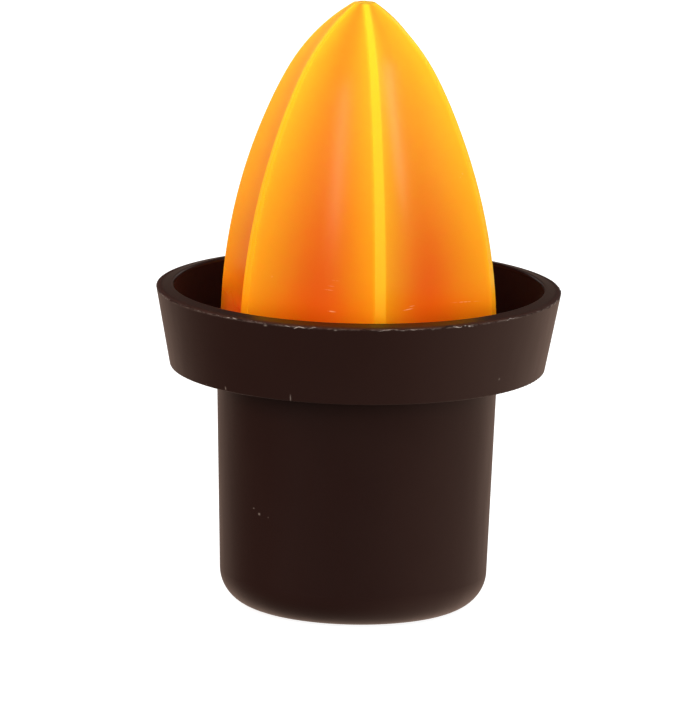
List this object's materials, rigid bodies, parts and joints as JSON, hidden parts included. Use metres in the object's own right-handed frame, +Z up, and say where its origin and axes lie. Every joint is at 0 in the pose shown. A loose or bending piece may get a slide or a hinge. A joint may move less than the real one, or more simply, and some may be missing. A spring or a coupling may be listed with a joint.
{
  "type": "citrus squeezer",
  "caption": "Free-standing citrus squeezer: a fluted hollow reamer cone stands in a flared catch bowl over a juice cup, with a slotted pip strainer between.",
  "frame": {"origin": "centre of the juice cup's foot, on the surface that it stands on", "axes": "+Z up along the common axis of cup, bowl and cone; one ridge of the cone faces -Y"},
  "size_m": [0.1, 0.1, 0.151],
  "materials": {
    "brown_plastic": "matt moulded, dark brown",
    "strainer_plastic": "matt moulded, dark brown",
    "orange_plastic": "satin gloss, tinted orange, slightly see-through"
  },
  "bodies": {
    "cup": {"juice_cup": "brown_plastic"},
    "bowl": {"catch_bowl": "brown_plastic"},
    "strainer": {"pip_strainer": "strainer_plastic"},
    "cone": {"reamer_cone": "orange_plastic"}
  },
  "joints": [
    {"name": "bowl_lift", "type": "slide", "parent": "cup", "child": "bowl", "axis": [0, 0, 1], "range_m": [0, 0.03]},
    {"name": "strainer_lift", "type": "slide", "parent": "bowl", "child": "strainer", "axis": [0, 0, 1], "range_m": [0, 0.04]},
    {"name": "cone_lift", "type": "slide", "parent": "strainer", "child": "cone", "axis": [0, 0, 1], "range_m": [0, 0.04]}
  ]
}
